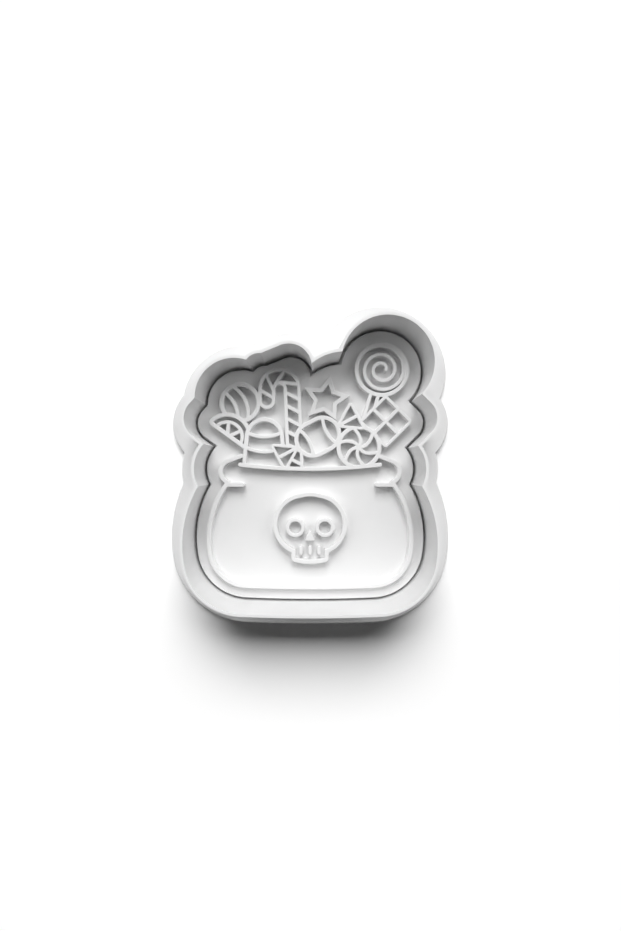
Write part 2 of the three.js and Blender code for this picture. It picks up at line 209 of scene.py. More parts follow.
def makeWhitePla():
    material = bpy.data.materials.new("whitePla")
    material.use_nodes = True
    tree = material.node_tree
    tree.nodes.clear()
    coords = addNode(tree, "ShaderNodeTexCoord").outputs
    place = addNode(tree, "ShaderNodeVectorMath", {"operation": "SCALE"},
                    {0: coords["Object"], "Scale": 1 / mm})
    placeMm = place.outputs[0]
    clouds = addNode(tree, "ShaderNodeTexNoise", None, {
        "Vector": placeMm, "Scale": 1 / plaFinish["cloudSize"], "Detail": 3.0, "Roughness": 0.5})
    colour = addNode(tree, "ShaderNodeMix", {"data_type": "RGBA"}, {
        0: clouds.outputs["Fac"],
        6: hexColour(plaFinish["colour"]), 7: hexColour(plaFinish["cloudColour"])})
    upright = addNode(tree, "ShaderNodeSeparateXYZ", None, {0: coords["Normal"]})
    facingUp = addNode(tree, "ShaderNodeMath", {"operation": "ABSOLUTE"}, {0: upright.outputs["Z"]})
    axes = addNode(tree, "ShaderNodeSeparateXYZ", None, {0: placeMm}).outputs
    layerTurn = addNode(tree, "ShaderNodeMath", {"operation": "MULTIPLY"},
                        {0: axes["Z"], 1: 2 * math.pi / plaFinish["layerHeight"]})
    layers = addNode(tree, "ShaderNodeMath", {"operation": "SINE"}, {0: layerTurn.outputs[0]})
    slant = addNode(tree, "ShaderNodeMath", {"operation": "ADD"}, {0: axes["X"], 1: axes["Y"]})
    passTurn = addNode(tree, "ShaderNodeMath", {"operation": "MULTIPLY"},
                       {0: slant.outputs[0],
                        1: 2 * math.pi / (plaFinish["passWidth"] * math.sqrt(2))})
    passes = addNode(tree, "ShaderNodeMath", {"operation": "SINE"}, {0: passTurn.outputs[0]})
    layerHeight = addNode(tree, "ShaderNodeMath", {"operation": "MULTIPLY"},
                          {0: layers.outputs[0], 1: plaFinish["layerDepth"]})
    passHeight = addNode(tree, "ShaderNodeMath", {"operation": "MULTIPLY"},
                         {0: passes.outputs[0], 1: plaFinish["passDepth"]})
    rings = addNode(tree, "ShaderNodeTexNoise", {"noise_dimensions": "1D"},
                    {"W": axes["Z"], "Scale": 1 / plaFinish["ringSize"], "Detail": 2.0})
    unevenLayers = addNode(tree, "ShaderNodeMath", {"operation": "MULTIPLY_ADD"},
                           {0: rings.outputs["Fac"], 1: plaFinish["ringDepth"],
                            2: layerHeight.outputs[0]})
    lines = addNode(tree, "ShaderNodeMix", {"data_type": "FLOAT"},
                    {0: facingUp.outputs[0], 2: unevenLayers.outputs[0], 3: passHeight.outputs[0]})
    grain = addNode(tree, "ShaderNodeTexNoise", None,
                    {"Vector": placeMm, "Scale": 1 / plaFinish["grainSize"], "Detail": 2.0})
    relief = addNode(tree, "ShaderNodeMath", {"operation": "MULTIPLY_ADD"},
                     {0: grain.outputs["Fac"], 1: plaFinish["grainDepth"], 2: lines.outputs[0]})
    bump = addNode(tree, "ShaderNodeBump", None,
                   {"Strength": 1.0, "Distance": mm, "Height": relief.outputs[0]})
    patches = addNode(tree, "ShaderNodeTexNoise", None, {
        "Vector": placeMm, "Detail": 4.0,
        "Scale": plaFinish["cloudsPerPatch"] / plaFinish["cloudSize"]})
    satin = addNode(tree, "ShaderNodeMapRange", None, {
        "Value": patches.outputs["Fac"],
        "From Min": plaFinish["patchLow"], "From Max": plaFinish["patchHigh"],
        "To Min": plaFinish["roughLow"], "To Max": plaFinish["roughHigh"]})
    roughness = addNode(tree, "ShaderNodeMapRange", None, {
        "Value": upright.outputs["Z"],
        "From Min": plaFinish["bedFacing"], "From Max": plaFinish["sideFacing"],
        "To Min": plaFinish["bedRough"], "To Max": satin.outputs[0]})
    surface = addNode(tree, "ShaderNodeBsdfPrincipled", None, {
        "Base Color": colour.outputs[2], "Roughness": roughness.outputs[0], "IOR": plaFinish["ior"],
        "Subsurface Weight": plaFinish["glow"], "Subsurface Radius": (1.0, 1.0, 1.0),
        "Subsurface Scale": plaFinish["glowDepth"] * mm, "Normal": bump.outputs[0]})
    addNode(tree, "ShaderNodeOutputMaterial", None, {"Surface": surface.outputs[0]})
    return material


whitePla = makeWhitePla()
print("material:", whitePla.name)


# How finely curves are cut, in mm and degrees; welds are in metres
meshing = {
    "curveError": 0.004, "largestStep": 6.0, "smallestRadius": 0.05, "samePoint": 1e-4,
    "weld": 1e-6, "lastWeld": 2e-6, "crease": 32, "filletSteps": 8,
}


# Flat outlines in mm are chains of arcs (x, y, radius, from, to), so one number grows them evenly
def spot(x, y, angle, reach):
    return (x + reach * math.cos(angle * degree), y + reach * math.sin(angle * degree))


def arcPoints(x, y, r, start, end, grow=0.0):
    error = meshing["curveError"]
    step = min(meshing["largestStep"], 2 * math.acos(1 - error / max(r, 2 * error)) / degree)
    count = max(1, math.ceil(abs(end - start) / step))
    reach = max(r + grow, meshing["smallestRadius"])
    return [spot(x, y, start + (end - start) * i / count, reach) for i in range(count + 1)]


def outline(chain, grow=0.0):
    points = [p for arc in chain for p in arcPoints(*arc, grow)]
    following = points[1:] + points[:1]
    return [p for p, q in zip(points, following) if math.dist(p, q) > meshing["samePoint"]]


def disc(x, y, r):
    return [(x, y, r, 0, 360)]


# Band drawn tight round discs (x, y, r) that are given anticlockwise
def hull(*discs):
    normals = []
    for i, (x, y, r) in enumerate(discs):
        nextX, nextY, nextR = discs[(i + 1) % len(discs)]
        lean = math.acos((r - nextR) / math.hypot(nextX - x, nextY - y))
        normals.append((math.atan2(nextY - y, nextX - x) - lean) / degree)
    return [(x, y, r, normals[i - 1], normals[i - 1] + (normals[i] - normals[i - 1]) % 360)
            for i, (x, y, r) in enumerate(discs)]


# Closed outline of a line drawn with a round-ended pen
def penOutline(path, width):
    last = len(path) - 1
    headings = []
    for i in range(len(path)):
        (x0, y0), (x1, y1) = path[max(i - 1, 0)], path[min(i + 1, last)]
        headings.append(math.atan2(y1 - y0, x1 - x0) / degree)
    right = [spot(*p, h - 90, width / 2) for p, h in zip(path, headings)]
    left = [spot(*p, h + 90, width / 2) for p, h in zip(path, headings)]
    tip = arcPoints(*path[-1], width / 2, headings[-1] - 90, headings[-1] + 90)
    tail = arcPoints(*path[0], width / 2, headings[0] + 90, headings[0] + 270)
    return right[:-1] + tip[:-1] + left[::-1][:-1] + tail[:-1]


# A curve object with one closed loop for each outline, or one open line
def curveObject(name, lines, closed=True):
    curve = bpy.data.curves.new(name, "CURVE")
    curve.dimensions = "3D"
    for points in lines:
        area = sum(a[0] * b[1] - b[0] * a[1] for a, b in zip(points, points[1:] + points[:1]))
        if closed and area < 0:
            points = points[::-1]  # outward is always to the right
        spline = curve.splines.new("POLY")
        spline.points.add(len(points) - 1)
        spline.points.foreach_set("co", [v for x, y in points for v in (x * mm, y * mm, 0.0, 1.0)])
        spline.use_cyclic_u = closed
    made = bpy.data.objects.new(name, curve)
    scene.collection.objects.link(made)
    return made


# A section is an upright line through points (grow, z); the sweep reads z downwards
def sectionObject(name, levels):
    return curveObject(name, [[(grow, -z) for grow, z in levels]], closed=False)


def quarterRound(grow, z, radius, start, end, steps=5):
    return [spot(grow, z, start + (end - start) * i / steps, radius) for i in range(steps + 1)]


def newTree(name, inputs):
    tree = bpy.data.node_groups.new(name, "GeometryNodeTree")
    for label, kind in inputs:
        tree.interface.new_socket(label, in_out="INPUT", socket_type="NodeSocket" + kind)
    tree.interface.new_socket("Mesh", in_out="OUTPUT", socket_type="NodeSocketGeometry")
    return tree, addNode(tree, "NodeGroupInput").outputs


# Ways to combine solids
joined, lessened, shared = [{"operation": kind, "solver": "MANIFOLD"}
                            for kind in ("UNION", "DIFFERENCE", "INTERSECT")]


# Solids from closed outlines: the section runs round each one, lids close it, and all are joined
def makeOutlineSolid():
    tree, given = newTree("outlineSolid", [("Outlines", "Object"), ("Section", "Object")])
    outlines = addNode(tree, "GeometryNodeObjectInfo", None, {"Object": given["Outlines"]})
    section = addNode(tree, "GeometryNodeObjectInfo", None, {"Object": given["Section"]})
    profile = section.outputs["Geometry"]
    curves = addNode(tree, "GeometryNodeSetCurveNormal", {"mode": "Z_UP"},
                     {"Curve": outlines.outputs["Geometry"]}).outputs[0]
    swept = addNode(tree, "GeometryNodeCurveToMesh", None,
                    {"Curve": curves, "Profile Curve": profile})
    sides = addNode(tree, "GeometryNodeFlipFaces", None, {"Mesh": swept.outputs[0]})
    count = addNode(tree, "GeometryNodeAttributeDomainSize", {"component": "CURVE"},
                    {"Geometry": profile})
    lastPoint = addNode(tree, "ShaderNodeMath", {"operation": "SUBTRACT"},
                        {0: count.outputs["Point Count"], 1: 1.0})
    position = addNode(tree, "GeometryNodeInputPosition").outputs[0]
    normal = addNode(tree, "GeometryNodeInputNormal").outputs[0]
    index = addNode(tree, "GeometryNodeInputIndex").outputs[0]
    lids = []
    for end in (0, lastPoint.outputs[0]):
        level = addNode(tree, "GeometryNodeSampleIndex", {"data_type": "FLOAT_VECTOR"},
                        {"Geometry": profile, "Value": position, "Index": end})
        levelAxes = addNode(tree, "ShaderNodeSeparateXYZ", None, {0: level.outputs[0]}).outputs
        outward = addNode(tree, "ShaderNodeVectorMath", {"operation": "SCALE"},
                          {0: normal, "Scale": levelAxes["X"]})
        grown = addNode(tree, "GeometryNodeSetPosition", None,
                        {"Geometry": curves, "Offset": outward.outputs[0]})
        filled = addNode(tree, "GeometryNodeFillCurve", {"mode": "NGONS"},
                         {"Curve": grown.outputs[0], "Group ID": index})
        height = addNode(tree, "ShaderNodeMath", {"operation": "MULTIPLY"},
                         {0: levelAxes["Y"], 1: -1.0})
        lift = addNode(tree, "ShaderNodeCombineXYZ", None, {"Z": height.outputs[0]})
        lids.append(addNode(tree, "GeometryNodeSetPosition", None,
                            {"Geometry": filled.outputs[0], "Offset": lift.outputs[0]}).outputs[0])
    lids[0] = addNode(tree, "GeometryNodeFlipFaces", None, {"Mesh": lids[0]}).outputs[0]
    island = addNode(tree, "GeometryNodeInputMeshIsland").outputs["Island Index"]
    shells = []
    for mesh, number in ((sides.outputs[0], island), (lids[0], index), (lids[1], index)):
        numbered = addNode(tree, "GeometryNodeStoreNamedAttribute",
                           {"data_type": "INT", "domain": "FACE"},
                           {"Geometry": mesh, "Name": "loop", "Value": number})
        shells.append(numbered.outputs[0])
    shell = addNode(tree, "GeometryNodeJoinGeometry", None, {"Geometry": shells})
    loop = addNode(tree, "GeometryNodeInputNamedAttribute", {"data_type": "INT"}, {"Name": "loop"})
    apart = addNode(tree, "GeometryNodeSplitToInstances", {"domain": "FACE"},
                    {"Geometry": shell.outputs[0], "Group ID": loop.outputs["Attribute"]})
    closed = addNode(tree, "GeometryNodeMergeByDistance", None,
                     {"Geometry": apart.outputs[0], "Distance": meshing["weld"]})
    solid = addNode(tree, "GeometryNodeMeshBoolean", joined, {"Mesh 2": closed.outputs[0]})
    addNode(tree, "NodeGroupOutput", None, {0: solid.outputs[0]})
    return tree


outlineSolid = makeOutlineSolid()


# Ends a tree: smooth faces that break at edges, real geometry, and the plastic
def finishTree(tree, mesh):
    merged = addNode(tree, "GeometryNodeMergeByDistance", None,
                     {"Geometry": mesh, "Distance": meshing["lastWeld"]})
    smooth = addNode(tree, "GeometryNodeSetShadeSmooth", {"domain": "FACE"},
                     {"Geometry": merged.outputs[0], "Shade Smooth": True})
    angle = addNode(tree, "GeometryNodeInputMeshEdgeAngle").outputs["Unsigned Angle"]
    creased = addNode(tree, "FunctionNodeCompare", {"operation": "GREATER_THAN"},
                      {0: angle, 1: meshing["crease"] * degree})
    edged = addNode(tree, "GeometryNodeSetShadeSmooth", {"domain": "EDGE"},
                    {"Geometry": smooth.outputs[0], "Selection": creased.outputs[0],
                     "Shade Smooth": False})
    real = addNode(tree, "GeometryNodeRealizeInstances", None, {"Geometry": edged.outputs[0]})
    coated = addNode(tree, "GeometryNodeSetMaterial", None,
                     {"Geometry": real.outputs[0], "Material": whitePla})
    addNode(tree, "NodeGroupOutput", None, {0: coated.outputs[0]})


# A blank is every lobe of the outline with one section; the bore is cut out of it
def makeBoredBlank():
    tree, given = newTree("boredBlank", [("Geometry", "Geometry"), ("Lobes", "Object"),
                                         ("Outer section", "Object"), ("Bore section", "Object")])
    blank = addNode(tree, "GeometryNodeGroup", {"node_tree": outlineSolid},
                    {"Outlines": given["Lobes"], "Section": given["Outer section"]})
    bore = addNode(tree, "GeometryNodeGroup", {"node_tree": outlineSolid},
                   {"Outlines": given["Lobes"], "Section": given["Bore section"]})
    cut = addNode(tree, "GeometryNodeMeshBoolean", lessened,
                  {"Mesh 1": blank.outputs[0], "Mesh 2": bore.outputs[0]})
    finishTree(tree, cut.outputs[0])
    return tree


# A figure: the ridge along its face's edge, inner lines that stop there, free strokes,
# and all of it cut away where a figure in front hides it
def makeReliefFigure():
    labels = ["Face", "Hollow", "Lines", "Clip", "Strokes", "Fronts",
              "Ridge section", "Hollow section", "Prism section"]
    inputs = [("Geometry", "Geometry")] + [(label, "Object") for label in labels]
    tree, given = newTree("reliefFigure", inputs)
    solids = {}
    for label, section in (("Face", "Ridge"), ("Hollow", "Hollow"), ("Lines", "Ridge"),
                           ("Clip", "Prism"), ("Strokes", "Ridge"), ("Fronts", "Prism")):
        solid = addNode(tree, "GeometryNodeGroup", {"node_tree": outlineSolid},
                        {"Outlines": given[label], "Section": given[section + " section"]})
        solids[label] = solid.outputs[0]
    ring = addNode(tree, "GeometryNodeMeshBoolean", lessened,
                   {"Mesh 1": solids["Face"], "Mesh 2": solids["Hollow"]})
    inside = addNode(tree, "GeometryNodeMeshBoolean", shared,
                     {"Mesh 2": [solids["Lines"], solids["Clip"]]})
    drawn = addNode(tree, "GeometryNodeMeshBoolean", joined,
                    {"Mesh 2": [ring.outputs[0], inside.outputs[0], solids["Strokes"]]})
    shown = addNode(tree, "GeometryNodeMeshBoolean", lessened,
                    {"Mesh 1": drawn.outputs[0], "Mesh 2": solids["Fronts"]})
    finishTree(tree, shown.outputs[0])
    return tree


# The stamp: its plate with every figure grown out of it
def makeStampBody():
    tree, given = newTree("stampBody", [("Geometry", "Geometry"), ("Lobes", "Object"),
                                        ("Plate section", "Object"), ("Relief", "Collection")])
    plate = addNode(tree, "GeometryNodeGroup", {"node_tree": outlineSolid},
                    {"Outlines": given["Lobes"], "Section": given["Plate section"]})
    figures = addNode(tree, "GeometryNodeCollectionInfo", None,
                      {"Collection": given["Relief"], "Separate Children": True})
    whole = addNode(tree, "GeometryNodeMeshBoolean", joined,
                    {"Mesh 2": [plate.outputs[0], figures.outputs[0]]})
    finishTree(tree, whole.outputs[0])
    return tree


boredBlank = makeBoredBlank()
reliefFigure = makeReliefFigure()
stampBody = makeStampBody()


# An object that a tree fills in
def treeObject(name, tree, inputs, collection):
    made = bpy.data.objects.new(name, bpy.data.meshes.new(name))
    collection.objects.link(made)
    modifier = made.modifiers.new(tree.name, "NODES")
    modifier.node_group = tree
    sockets = {item.name: item.identifier for item in tree.interface.items_tree
               if item.in_out == "INPUT"}
    for label, value in inputs.items():
        modifier[sockets[label]] = value
    return made


# The evaluated result as a plain mesh, with normals that keep flat faces flat
def plainPiece(made, name):
    weighted = made.modifiers.new("flatFaces", "WEIGHTED_NORMAL")
    weighted.keep_sharp = True
    depsgraph = bpy.context.evaluated_depsgraph_get()
    mesh = bpy.data.meshes.new_from_object(made.evaluated_get(depsgraph), depsgraph=depsgraph)
    mesh.name = name
    piece = bpy.data.objects.new(name, mesh)
    scene.collection.objects.link(piece)
    bpy.data.objects.remove(made)
    print("%s: %d faces" % (name, len(mesh.polygons)))
    return piece


print("node trees:", ", ".join(tree.name for tree in bpy.data.node_groups))

# Lines of the relief
relief = {
    "plateTop": 4.0, "ridgeTop": 6.8, "root": 0.5, "edge": 0.22, "lap": 0.25, "spare": 1.0,
    "border": 3.9, "potBorder": 3.45, "clearance": 0.5,
    "potLine": 1.2, "sweetLine": 1.2, "innerLine": 1.0, "skullLine": 1.25,
}
borderReach = relief["border"] + relief["clearance"]

# Pot: its sides swing out to the belly, then turn through round corners into a bowed bottom
pot = {
    "bellyHalfWidth": 33.35, "bellyY": -20.7, "sideRadius": 30.95,
    "cornerRadius": 15.3, "cornerStart": -9.7, "bottomBow": 0.4,
    "shoulderAngle": 52, "neckAngle": 35.5, "hookLength": 4.7,
    "mouthInset": 0.7, "mouthY": 0.35, "mouthSag": 1.2,
    "earInset": 11.15, "earY": -1.65, "earRadius": 3.25, "earTurn": 69, "earTop": 4.1,
    "earLobeInset": 12.75, "earLobeY": -0.85, "earLobe": 9.75, "earLobeFoot": 4.4,
}
earX = pot["bellyHalfWidth"] - pot["earInset"]
earLobeX = pot["bellyHalfWidth"] - pot["earLobeInset"]


# Two round corners with a bowed bottom between them; each corner starts at an angle off the level
def bowedBase(cornerX, cornerY, radius, bow, start):
    depth = radius + bow
    bowRadius = (cornerX ** 2 + depth ** 2 - radius ** 2) / (2 * bow)
    half = math.asin(cornerX / (bowRadius - radius)) / degree
    return [
        (-cornerX, cornerY, radius, 180 - start, 270 - half),
        (0, cornerY - depth + bowRadius, bowRadius, 270 - half, 270 + half),
        (cornerX, cornerY, radius, half - 90, start),
    ]


def potChain(topAngle):
    cornerStart, cornerRadius = pot["cornerStart"], pot["cornerRadius"]
    sideRadius = pot["sideRadius"]
    sideX = pot["bellyHalfWidth"] - sideRadius
    corner = spot(sideX, pot["bellyY"], cornerStart, sideRadius - cornerRadius)
    return [
        (-sideX, pot["bellyY"], sideRadius, 180 - topAngle, 180 - cornerStart),
        *bowedBase(*corner, cornerRadius, pot["bottomBow"], cornerStart),
        (sideX, pot["bellyY"], sideRadius, cornerStart, topAngle),
    ]


# Sweets: middles and sizes
ball = {"x": -19.9, "y": 18, "radius": 5.85, "bandTilt": 25, "bands": [-1.6, 1.6],
        "bandRadius": 9, "bandHalfTurn": 60}
cane = {"x": -8.7, "y": 21.9, "radius": 3.6, "width": 4.9, "hookY": 18.6,
        "footX": -4.2, "footY": -2, "stripePitch": 3.7, "stripeLean": 60}
star = {"x": 4.5, "y": 19, "radius": 6.8, "waist": 0.52, "points": 5, "tilt": -10}
lollipop = {"x": 20.4, "y": 27.35, "radius": 7.8, "pitch": 2.5, "turns": 2.4, "stepsPerTurn": 72,
            "stickX": 11.6, "stickY": -3, "stickWidth": 3.2}
jellySlice = {"x": -23.6, "y": 8.2, "radius": 7, "corner": 1.3, "tilt": -36,
              "rind": 2.7, "segments": 3}
tablet = {"x": 21.5, "y": 12.6, "reach": 6.4, "corner": 0.95}
mint = {"x": 13.9, "y": 5.3, "radius": 6.4, "spokes": 6, "hub": 1, "sweep": 50, "bladeSteps": 12}
gumDrop = {"x": -13, "y": 8.2, "radius": 5.6, "footHalfWidth": 5.6, "footY": -3, "footCorner": 1,
           "bands": [4, 8.3], "bandHalfTurn": 45}
twist = {"x": 2.2, "y": 8.3, "tilt": 28, "radius": 5.3, "stretch": 1.6, "bandHalfTurn": 30,
         "knot": 7.3, "fanLength": 5, "fanSpread": 3.3, "fanCorner": 0.9}

sliceReach = jellySlice["radius"] - jellySlice["corner"]
sliceLean = math.asin(jellySlice["corner"] / sliceReach) / degree
sliceTip = spot(jellySlice["x"], jellySlice["y"], jellySlice["tilt"] + 180 - sliceLean, sliceReach)
sliceHeel = spot(jellySlice["x"], jellySlice["y"], jellySlice["tilt"] + sliceLean, sliceReach)

# Lobes that fill in between the sweets: how far right and up of a sweet's middle, and the radius
fillLobes = {
    "sliceShoulder": (4.3, 5.1, 11.05), "starSide": (4.8, -3.3, 14.25),
    "caneLeft": (-4.6, 3.35, 4.25), "caneBend": (-2.4, 1.7, 6.1), "caneTop": (3.1, 4, 6.1),
}
heapLobe = (-4, 10, 13)  # in the middle, where no sweet stands


def fillLobe(name, sweet):
    right, up, radius = fillLobes[name]
    return (sweet["x"] + right, sweet["y"] + up, radius)


# Outline of the set: each lobe runs round one thing in the picture, at the border's width
tabletRound = tablet["corner"] + borderReach
lobes = [
    potChain(pot["shoulderAngle"]),
    disc(-earLobeX, pot["earLobeY"], pot["earLobe"]),
    disc(earLobeX, pot["earLobeY"], pot["earLobe"]),
    hull((*sliceTip, jellySlice["corner"] + borderReach), fillLobe("sliceShoulder", jellySlice)),
    disc(ball["x"], ball["y"], ball["radius"] + borderReach),
    disc(*fillLobe("caneLeft", cane)),
    hull(fillLobe("caneBend", cane), fillLobe("caneTop", cane)),
    disc(*fillLobe("starSide", star)),
    disc(lollipop["x"], lollipop["y"], lollipop["radius"] + borderReach),
    hull((tablet["x"], tablet["y"], tabletRound + tablet["reach"] * math.sqrt(0.5)),
         (tablet["x"] + tablet["reach"], tablet["y"], tabletRound)),
    hull(heapLobe, *[(x, pot["earLobeY"], pot["earLobeFoot"]) for x in (-earLobeX, earLobeX)]),
]
lobeOutlines = [outline(lobe) for lobe in lobes]
lobeHeights = [y for loop in lobeOutlines for x, y in loop]
middleY = (max(lobeHeights) + min(lobeHeights)) / 2


def centred(loops):
    return [[(x, y - middleY) for x, y in loop] for loop in loops]


# A figure is its face, which hides what is behind it, with the lines to draw
def figure(face, width=None, lines=(), strokes=()):
    return {"face": face, "width": width, "lines": list(lines), "strokes": list(strokes)}


def roundFace(*chains):
    return lambda grow: [outline(chain, grow) for chain in chains]


def line(width, *points):
    return penOutline(list(points), width)


def arcLine(width, *arc):
    return penOutline(arcPoints(*arc), width)


def ballFigure():
    tilt, bandRadius = ball["bandTilt"], ball["bandRadius"]
    curves = []
    for offset in ball["bands"]:
        centre = spot(ball["x"], ball["y"], tilt, offset - bandRadius)
        curves.append(arcLine(relief["innerLine"], *centre, bandRadius,
                              tilt - ball["bandHalfTurn"], tilt + ball["bandHalfTurn"]))
    face = roundFace(disc(ball["x"], ball["y"], ball["radius"]))
    return figure(face, relief["sweetLine"], curves)


def caneFigure():
    bend = arcPoints(cane["x"], cane["y"], cane["radius"], 180, 0)
    path = [(cane["x"] - cane["radius"], cane["hookY"]), *bend, (cane["footX"], cane["footY"])]
    lengths = [math.dist(a, b) for a, b in zip(path, path[1:])]
    half = cane["width"] / 2 / math.sin(cane["stripeLean"] * degree)
    stripes = []
    for i in range(int(sum(lengths) / cane["stripePitch"])):
        left = (i + 0.5) * cane["stripePitch"]
        k = 0
        while left > lengths[k]:
            left -= lengths[k]
            k += 1
        (x0, y0), (x1, y1) = path[k], path[k + 1]
        heading = math.atan2(y1 - y0, x1 - x0) / degree
        x, y = spot(x0, y0, heading, left)
        slant = heading + cane["stripeLean"]
        stripes.append(line(relief["innerLine"], spot(x, y, slant, half), spot(x, y, slant, -half)))

    def face(grow):
        return [penOutline(path, cane["width"] + 2 * grow)]
    return figure(face, relief["innerLine"], stripes)


def starFigure():
    half = 180 / star["points"]
    inner = star["radius"] * star["waist"]
    flank = math.dist(spot(0, 0, half, inner), (star["radius"], 0))
    flankReach = star["radius"] * inner * math.sin(half * degree) / flank

    def face(grow):
        scale = 1 + grow / flankReach
        corners = []
        for i in range(2 * star["points"]):
            reach = scale * (inner if i % 2 else star["radius"])
            corners.append(spot(star["x"], star["y"], 90 + star["tilt"] + half * i, reach))
        return [corners]
    return figure(face, relief["sweetLine"])


def stickFigure():
    half = lollipop["stickWidth"] / 2
    stick = hull((lollipop["stickX"], lollipop["stickY"], half),
                 (lollipop["x"], lollipop["y"], half))
    return figure(roundFace(stick), relief["innerLine"])


def lollipopFigure():
    x, y, radius = lollipop["x"], lollipop["y"], lollipop["radius"]
    count = int(lollipop["turns"] * lollipop["stepsPerTurn"])
    swirl = []
    for i in range(count + 1):
        turn = lollipop["turns"] * i / count
        swirl.append(spot(x, y, 360 * (lollipop["turns"] - turn),
                          radius - relief["sweetLine"] / 2 - lollipop["pitch"] * turn))
    swirlLine = penOutline(swirl, relief["innerLine"])
    return figure(roundFace(disc(x, y, radius)), relief["sweetLine"], [swirlLine])


def tabletFigure():
    x, y, reach = tablet["x"], tablet["y"], tablet["reach"]
    corners = [(*spot(x, y, angle, reach), tablet["corner"]) for angle in (0, 90, 180, 270)]
    grid = [line(relief["innerLine"], spot(x, y, angle, -reach), spot(x, y, angle, reach))
            for angle in (45, 135)]
    return figure(roundFace(hull(*corners)), relief["sweetLine"], grid)


def sliceFigure():
    x, y, radius, tilt = jellySlice["x"], jellySlice["y"], jellySlice["radius"], jellySlice["tilt"]
    corner, inner = jellySlice["corner"], radius - jellySlice["rind"]
    chain = [
        (x, y, radius, tilt + sliceLean, tilt + 180 - sliceLean),
        (*sliceTip, corner, tilt + 180 - sliceLean, tilt + 270),
        (*sliceHeel, corner, tilt - 90, tilt + sliceLean),
    ]
    rind = arcLine(relief["innerLine"], x, y, inner, tilt, tilt + 180)
    spokes = []
    for i in range(1, jellySlice["segments"]):
        end = spot(x, y, tilt + 180 * i / jellySlice["segments"], inner)
        spokes.append(line(relief["innerLine"], (x, y), end))
    return figure(roundFace(chain), relief["sweetLine"], [rind, *spokes])


def dropFigure():
    x, y, radius, turn = gumDrop["x"], gumDrop["y"], gumDrop["radius"], gumDrop["bandHalfTurn"]
    feet = [(x + side * gumDrop["footHalfWidth"], gumDrop["footY"], gumDrop["footCorner"])
            for side in (-1, 1)]
    bands = [arcLine(relief["innerLine"], x, bandY + 2 * radius, 2 * radius, 270 - turn, 270 + turn)
             for bandY in gumDrop["bands"]]
    return figure(roundFace(hull(*feet, (x, y, radius))), relief["sweetLine"], bands)


def mintFigure():
    x, y, radius = mint["x"], mint["y"], mint["radius"]
    blades = []
    for i in range(mint["spokes"]):
        start = 360 * i / mint["spokes"]
        midX, midY = spot(x, y, start, radius / 2)
        endX, endY = spot(x, y, start + mint["sweep"], radius)
        path = []
        for k in range(mint["bladeSteps"] + 1):
            t = k / mint["bladeSteps"]
            path.append((x * (1 - t) ** 2 + 2 * midX * t * (1 - t) + endX * t * t,
                         y * (1 - t) ** 2 + 2 * midY * t * (1 - t) + endY * t * t))
        blades.append(penOutline(path, relief["innerLine"]))
    hub = outline(disc(x, y, mint["hub"]))
    return figure(roundFace(disc(x, y, radius)), relief["sweetLine"], [*blades, hub])


# Wrapped sweet: a round body between two pleated fans
def twistFigures():
    x, y, tilt, radius = twist["x"], twist["y"], twist["tilt"], twist["radius"]
    turn, bandRadius = twist["bandHalfTurn"], 2 * radius - relief["sweetLine"]
    made = []
    bands = []
    for heading in (tilt, tilt + 180):
        knot = spot(x, y, heading, twist["knot"])
        hem = spot(x, y, heading, twist["knot"] + twist["fanLength"])
        tips = [spot(*hem, heading + 90, side * twist["fanSpread"]) for side in (-1, 1)]
        chain = hull(*[(*p, twist["fanCorner"]) for p in (knot, *tips)])
        pleat = line(relief["innerLine"], knot, hem)
        made.append(figure(roundFace(chain), relief["innerLine"], [pleat]))
        centre = spot(x, y, heading, twist["stretch"] + 2 * radius)
        bands.append(arcLine(relief["innerLine"], *centre, bandRadius,
                             heading + 180 - turn, heading + 180 + turn))
    halves = [(*spot(x, y, tilt, along), radius) for along in (-twist["stretch"], twist["stretch"])]
    made.append(figure(roundFace(hull(*halves)), relief["sweetLine"], bands))
    return made


# Pot lines, over everything that stands in the pot
def potFigure():
    width = relief["potLine"]
    inset = relief["potBorder"] + relief["clearance"] + width / 2
    belly = outline(potChain(pot["neckAngle"]), -inset)
    necks = [belly[0], belly[-1]]
    half = earLobeX - pot["mouthInset"]
    mouthRadius = (half ** 2 + pot["mouthSag"] ** 2) / (2 * pot["mouthSag"])
    mouthHalf = math.asin(half / mouthRadius) / degree
    mouthCentre = pot["mouthY"] - pot["mouthSag"] + mouthRadius
    mouth = arcPoints(0, mouthCentre, mouthRadius, 270 + mouthHalf, 270 - mouthHalf)
    strokes = [penOutline(belly, width), penOutline(mouth, width)]
    for neckX, neckY in necks:
        side = math.copysign(1, neckX)
        foot = math.atan2(neckY - pot["earY"], abs(neckX) - earX) / degree
        turns = (foot, pot["earTurn"], pot["earTurn"] + 90)
        start, end, along = [angle if side > 0 else 180 - angle for angle in turns]
        bend = arcPoints(side * earX, pot["earY"], pot["earRadius"], start, end)
        strokes.append(penOutline([*bend, spot(*bend[-1], along, pot["earTop"])], width))
        strokes.append(line(width, (neckX, neckY), (neckX - side * pot["hookLength"], neckY)))
    return figure(lambda grow: [necks + mouth], strokes=strokes)


# Skull on the belly: head and jaw, sockets, nose and teeth
skull = {
    "y": -16.6, "cheekX": 1.75, "cheekRadius": 8.8, "crownRadius": 9.15,
    "jawHalfWidth": 5.35, "jawCorner": 1.3, "chinY": -27.9, "chinBow": 0.5,
    "socketX": 4.2, "socketY": -17.55, "socketRadius": 2.7,
    "noseTop": -18.9, "noseBottom": -20.9, "noseHalfWidth": 0.9, "noseCorner": 0.4,
    "teeth": 3, "toothPitch": 2.57, "toothTop": -23.2, "toothBottom": -24.8, "toothWidth": 1.0,
}


